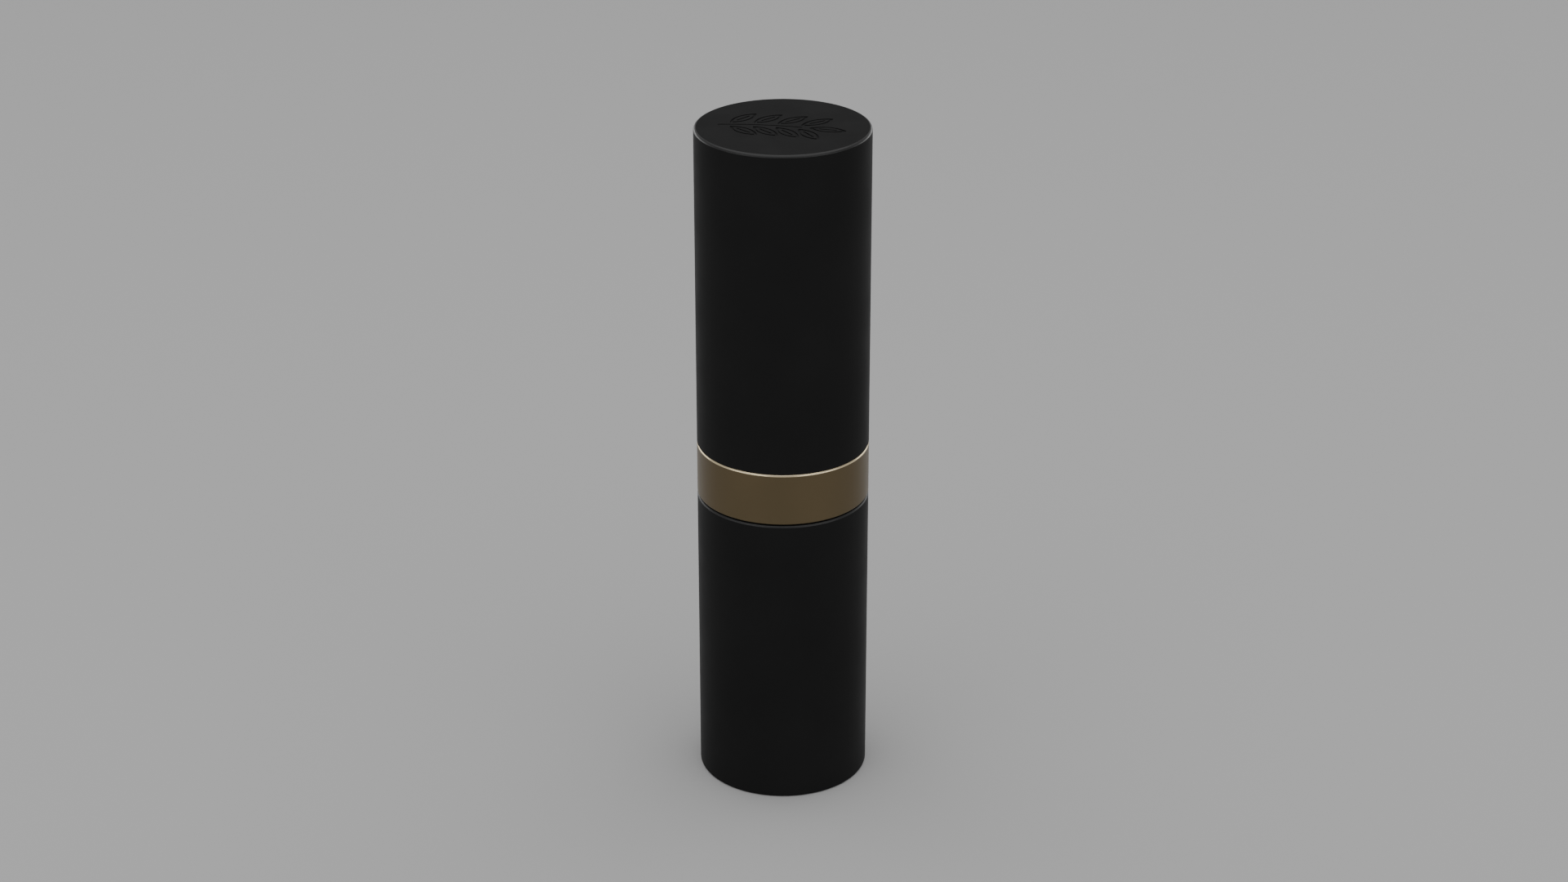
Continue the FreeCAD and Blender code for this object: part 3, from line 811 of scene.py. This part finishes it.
@dataclass
class Collar:
    """The part that turns: a gold band pressed on a gold sleeve, which holds the cam."""

    radius: float = radius_of("collar_band")
    bottom: float = bottom_of("collar_band")
    top: float = top_of("collar_band")
    wall: float = 0.6 * MM
    flange: float = 0.5 * MM
    edge_round: float = 0.26 * MM
    foot_round: float = 0.2 * MM
    seat_round: float = 0.05 * MM
    seat_gap: float = 0.05 * MM
    sleeve_radius: float = radius_of("cover_sleeve")
    sleeve_bottom: float = bottom_of("cover_sleeve")
    rim: float = top_of("cover_sleeve")
    sleeve_wall: float = 0.35 * MM
    sleeve_round: float = 0.7 * MM
    lip_margin: float = 0.3 * MM    # between the lip and the gold cup's bore
    lip_round: float = 0.14 * MM
    lip_under_round: float = 0.1 * MM

    def build_band(self) -> None:
        """Turn the band, with a rounded top edge that is polished and painted in a far lighter gold as a
        highlight.
        """
        bore, seat = self.radius - self.wall, self.sleeve_radius + self.seat_gap
        band = Turning(
            "collar_band_finished",
            [
                Corner(bore, self.bottom),
                Corner(self.radius, self.bottom, self.foot_round, steps=5),
                Corner(self.radius, self.top, self.edge_round, steps=6),
                Corner(seat, self.top, self.seat_round, steps=2),
                Corner(seat, self.top - self.flange),
                Corner(bore, self.top - self.flange),
            ],
        ).piece
        PAINTS.dress(band, GOLD_SATIN)
        # the top edge gets the far lighter gold: a painted highlight on a polished edge
        finish_edge(band, GOLD_POLISH_AND_HIGHLIGHT, self.top - self.edge_round)
        smooth(band)
        fit(band, "sleeve", "gold_aluminium", "collar_band")

    def build_sleeve(self) -> None:
        """Turn the sleeve, with its rolled-in rim."""
        bore, lip_under = self.sleeve_radius - self.sleeve_wall, self.rim - self.sleeve_wall
        lip = radius_of("bullet") + CUP_FIT + self.lip_margin
        sleeve = Turning(
            "cover_sleeve_finished",
            [
                Corner(bore, self.sleeve_bottom),
                Corner(self.sleeve_radius, self.sleeve_bottom),
                Corner(self.sleeve_radius, self.rim, self.sleeve_round, steps=10),
                Corner(lip, self.rim, self.lip_round, steps=4),
                Corner(lip, lip_under, self.lip_under_round, steps=3),
                Corner(bore, lip_under, self.sleeve_round - self.sleeve_wall, steps=6),
            ],
        ).piece
        smooth(sleeve)
        PAINTS.dress(sleeve, GOLD_SATIN)
        fit(sleeve, "sleeve", "gold_aluminium", "cover_sleeve")

    def build(self) -> None:
        """Build the collar and the sleeve."""
        self.build_band()
        self.build_sleeve()
        PAINTS.dress(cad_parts["collar_core"], BLACK_PLASTIC)
        PAINTS.dress(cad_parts["spiral_cam"], WHITE_PLASTIC)


# ---- Base


@dataclass
class Base:
    """The part that is held: a drawn shell over a moulded core, a weight and the fork tube."""

    radius: float = radius_of("base_shell")
    top: float = top_of("base_shell")
    wall: float = 0.6 * MM
    top_round: float = 0.24 * MM
    foot_round: float = 0.3 * MM
    foot_lip: float = 1.5 * MM
    foot_lip_round: float = 0.1 * MM
    mouth_round: float = 0.06 * MM
    foot_fillet: float = 0.15 * MM
    label_radius: float = radius_of("shade_label")
    label_round: float = 0.03 * MM
    label_recess: float = 0.2 * MM
    recess_round: float = 0.04 * MM
    boss_round: float = 0.12 * MM
    plug_round: float = 0.1 * MM
    gap: float = 0.05 * MM

    def build_shell(self) -> None:
        """Turn the shell, with its foot turned in."""
        bore, lip = self.radius - self.wall, self.radius - self.foot_lip
        shell = Turning(
            "base_shell_finished",
            [
                Corner(lip, 0, self.foot_lip_round, steps=3),
                Corner(self.radius, 0, self.foot_round, steps=6),
                Corner(self.radius, self.top, self.top_round, steps=5),
                Corner(bore, self.top, self.mouth_round, steps=2),
                Corner(bore, self.wall, self.foot_fillet, steps=3),
                Corner(lip, self.wall),
            ],
        ).piece
        PAINTS.dress(shell, BLACK_SATIN)
        finish_edge(shell, BLACK_EDGE, self.top - self.top_round)
        smooth(shell)
        fit(shell, "base", "black_aluminium", "base_shell")

    def build_plug(self) -> None:
        """Turn the plug that closes the foot, with the label's recess."""
        low, high, wide = bottom_of("foot_plug"), top_of("foot_plug"), radius_of("foot_plug")
        recess, recess_floor = self.label_radius + self.gap, low + self.label_recess
        boss, flange_under = self.radius - self.foot_lip - self.gap, self.wall + self.gap
        plug = Turning(
            "foot_plug_finished",
            [
                Corner(0, recess_floor),
                Corner(recess, recess_floor),
                Corner(recess, low, self.recess_round, steps=2),
                Corner(boss, low, self.boss_round, steps=3),
                Corner(boss, flange_under),
                Corner(wide, flange_under),
                Corner(wide, high, self.plug_round, steps=3),
                Corner(0, high),
            ],
        ).piece
        smooth(plug)
        PAINTS.dress(plug, BLACK_PLASTIC)
        fit(plug, "base", "black_plastic", "foot_plug")

    def build_label(self) -> None:
        """Cut the label, with its lower edge rounded."""
        low, high = bottom_of("shade_label"), top_of("shade_label")
        label = Turning(
            "shade_label_finished",
            [
                Corner(0, low),
                Corner(self.label_radius, low, self.label_round, steps=2),
                Corner(self.label_radius, high),
                Corner(0, high),
            ],
        ).piece
        smooth(label)
        PAINTS.dress(label, LABEL)
        fit(label, "base", "label", "shade_label")

    def build(self) -> None:
        """Build the base."""
        self.build_shell()
        self.build_plug()
        self.build_label()
        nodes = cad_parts
        PAINTS.dress(nodes["base_core"], BLACK_PLASTIC)
        PAINTS.dress(nodes["base_weight"], TURNED_STEEL)
        PAINTS.dress(nodes["fork_tube"], WHITE_PLASTIC)
        PAINTS.dress(nodes["drag_ring"], SILICONE)


# ---- Cup and lipstick


@dataclass
class LiftingCup:
    """The part that rises: the elevator with its lugs, the gold cup in it and the lipstick."""

    rim: float = top_of("pomade_cup")
    bottom: float = bottom_of("pomade_cup")
    rim_radius: float = radius_of("pomade_cup")
    rim_thick: float = 0.3 * MM
    rim_round: float = 0.14 * MM
    rim_under_round: float = 0.1 * MM
    mouth_round: float = 0.08 * MM
    foot_round: float = 0.1 * MM
    wall: float = 0.22 * MM
    floor: float = 0.3 * MM
    tip: float = top_of("bullet")
    stick_radius: float = radius_of("bullet")
    stick_bottom: float = bottom_of("bullet")
    ogive_radius: float = 15.0 * MM
    ogive_steps: int = 14
    tip_rise: float = 0.36 * MM
    behind_axis: float = 3.0 * MM
    slope: float = math.radians(52)
    hold_ribs: int = 4
    hold_rib_width: float = 0.5 * MM
    hold_rib_rise: float = 0.35 * MM
    hold_rib_setback: float = 1.4 * MM
    hold_rib_gap: float = 0.05 * MM
    wax_grid: float = 0.16 * MM
    softening_passes: int = 10
    softening_share: float = 0.5    # of the way to its neighbours' middle that a point moves in a pass

    def build_gold_cup(self) -> None:
        """Turn the gold cup, with its rolled rim."""
        bore, under = self.stick_radius + CUP_FIT, self.rim - self.rim_thick
        seat, floor_top = bore + self.wall, self.bottom + self.floor
        cup = Turning(
            "pomade_cup_finished",
            [
                Corner(0, self.bottom),
                Corner(seat, self.bottom, self.foot_round, steps=3),
                Corner(seat, under),
                Corner(self.rim_radius, under, self.rim_under_round, steps=3),
                Corner(self.rim_radius, self.rim, self.rim_round, steps=6),
                Corner(bore, self.rim, self.mouth_round, steps=4),
                Corner(bore, floor_top),
                Corner(0, floor_top),
            ],
        ).piece
        for rib in self.rib_bars(0.0, self.bottom + self.floor / 2, bore + self.wall / 2):
            combine(cup, rib, "UNION")
        smooth(cup)
        PAINTS.dress(cup, GOLD_SATIN)
        fit(cup, "cup", "gold_aluminium", "pomade_cup")

    def rib_bars(self, gap: float, low: float, outer: float) -> list[bpy.types.Object]:
        """The ribs that hold the stick in the gold cup, between the lugs.

        Args:
            gap: How much each rib is grown.
            low: Its lowest height.
            outer: The radius that it reaches out to.

        Returns:
            The ribs.
        """
        inner = self.stick_radius + CUP_FIT - self.hold_rib_rise - gap
        width = self.hold_rib_width + 2 * gap
        high = self.rim - self.hold_rib_setback + gap
        turns = [math.pi * (2 * rib + 1) / self.hold_ribs for rib in range(self.hold_ribs)]
        return [radial_bar(inner, outer, width, low, high, turn) for turn in turns]

    def build_lipstick(self) -> None:
        """Turn the stick with its ogive tip, slice its slanted face and soften its edges, as on cast wax."""
        tip = self.tip + self.tip_rise
        centre = self.stick_radius - self.ogive_radius
        shoulder = tip - math.sqrt(self.ogive_radius**2 - (self.behind_axis - centre) ** 2)
        apex_angle = math.acos(-centre / self.ogive_radius)
        ogive = [
            Corner(
                centre + self.ogive_radius * math.cos(apex_angle * step / self.ogive_steps),
                shoulder + self.ogive_radius * math.sin(apex_angle * step / self.ogive_steps),
            )
            for step in range(self.ogive_steps)
        ]
        stick = Turning(
            "bullet_finished",
            [Corner(0, self.stick_bottom), Corner(self.stick_radius, self.stick_bottom), *ogive,
             Corner(0, shoulder + self.ogive_radius * math.sin(apex_angle))],
        ).piece
        with Edit(stick):
            bpy.ops.mesh.select_all(action="SELECT")
            bpy.ops.mesh.bisect(
                plane_co=(0, self.behind_axis, tip),
                plane_no=(0, -math.sin(self.slope), math.cos(self.slope)),
                use_fill=True,
                clear_outer=True,
            )
        for groove in self.rib_bars(self.hold_rib_gap, self.stick_bottom - self.floor, self.rim_radius):
            combine(stick, groove, "DIFFERENCE")
        apply_modifier(stick, "REMESH", mode="VOXEL", voxel_size=self.wax_grid, use_smooth_shade=True)
        apply_modifier(stick, "SMOOTH", factor=self.softening_share, iterations=self.softening_passes)
        make_active(stick)
        bpy.ops.object.shade_smooth()
        PAINTS.dress(stick, ROSE_WAX)
        fit(stick, "cup", "wax", "bullet")

    def build(self) -> None:
        """Build the cup and the lipstick."""
        self.build_gold_cup()
        self.build_lipstick()
        PAINTS.dress(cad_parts["elevator_cup"], WHITE_PLASTIC)


# ---- Studio


@dataclass(frozen=True)
class Softbox:
    """A soft rectangular light, aimed at a point."""

    name: str
    width: float
    depth: float
    place: Place
    aim: Place
    power: float

    def build(self) -> None:
        """Hang the light."""
        data = bpy.data.lights.new(self.name, "AREA")
        data.shape = "RECTANGLE"
        data.size, data.size_y, data.energy = self.width, self.depth, self.power
        light = bpy.data.objects.new(self.name, data)
        bpy.context.scene.collection.objects.link(light)
        light.location = self.place
        light.visible_camera = False
        light.rotation_euler = (Vector(self.aim) - Vector(self.place)).to_track_quat("-Z", "Y").to_euler()


@dataclass
class Studio:
    """Pale floor, soft light and the camera."""

    floor_radius: float = 0.97
    floor_colour: Colour = (0.56, 0.56, 0.56)
    floor_roughness: float = 0.85
    floor_specular: float = 0.2
    surround: Colour = (0.55, 0.55, 0.55)
    surround_strength: float = 0.7
    lens: float = 70.88
    sensor: float = 36.0
    camera_place: Place = (0.0, -0.31866, 0.18590)
    camera_pitch: float = math.radians(65.535)
    camera_yaw: float = math.radians(-0.0213)
    camera_reach: tuple[float, float] = (0.01, 50.0)
    overhead: Softbox = Softbox("overhead", 1.1, 1.0, (0.0, -0.08, 0.62), (0, -0.08, 0.0), 2.9)
    fills: int = 4
    fill_distance: float = 1.0
    fill_height: float = 0.13
    fill_size: tuple[float, float] = (1.0, 0.24)
    fill_turn: float = math.radians(45)
    fill_aim: Place = (0, 0, 0.04)
    fill_power: float = 1.3

    def build_floor(self) -> None:
        """Lay the floor."""
        deselect_all()
        bpy.ops.mesh.primitive_circle_add(vertices=SIDES, radius=self.floor_radius, fill_type="NGON")
        floor = bpy.context.object
        floor.name = "floor"
        graph = Graph("pale_floor")
        graph.set(Base_Color=(*self.floor_colour, 1.0), Roughness=self.floor_roughness)
        graph.set(Specular_IOR_Level=self.floor_specular)
        floor.data.materials.append(graph.material)

    def build_light(self) -> None:
        """Light the studio."""
        world = bpy.data.worlds.new("studio")
        world.use_nodes = True
        background = next(n for n in world.node_tree.nodes if n.type == "BACKGROUND")
        background.inputs["Color"].default_value = (*self.surround, 1.0)
        background.inputs["Strength"].default_value = self.surround_strength
        bpy.context.scene.world = world
        self.overhead.build()
        for fill in range(self.fills):
            turn = self.fill_turn + 2 * math.pi * fill / self.fills
            x, y = self.fill_distance * math.cos(turn), self.fill_distance * math.sin(turn)
            place = (x, y, self.fill_height)
            Softbox(f"fill_{fill}", *self.fill_size, place, self.fill_aim, self.fill_power).build()

    def build_camera(self) -> None:
        """Set the camera up."""
        data = bpy.data.cameras.new("camera")
        data.lens, data.sensor_width = self.lens, self.sensor
        data.clip_start, data.clip_end = self.camera_reach
        camera = bpy.data.objects.new("camera", data)
        bpy.context.scene.collection.objects.link(camera)
        camera.location = self.camera_place
        camera.rotation_euler = (self.camera_pitch, 0, self.camera_yaw)
        bpy.context.scene.camera = camera

    def build(self) -> None:
        """Build the studio."""
        self.build_floor()
        self.build_light()
        self.build_camera()


def main() -> None:
    """Build every sub-assembly in order, then the studio."""
    logging.basicConfig(level=logging.INFO, format="%(name)s: %(message)s")
    for part in (Base(), Collar(), LiftingCup(), Cap(), Studio()):
        part.build()
        log.info("%s built", type(part).__name__)


if __name__ == "__main__":
    main()
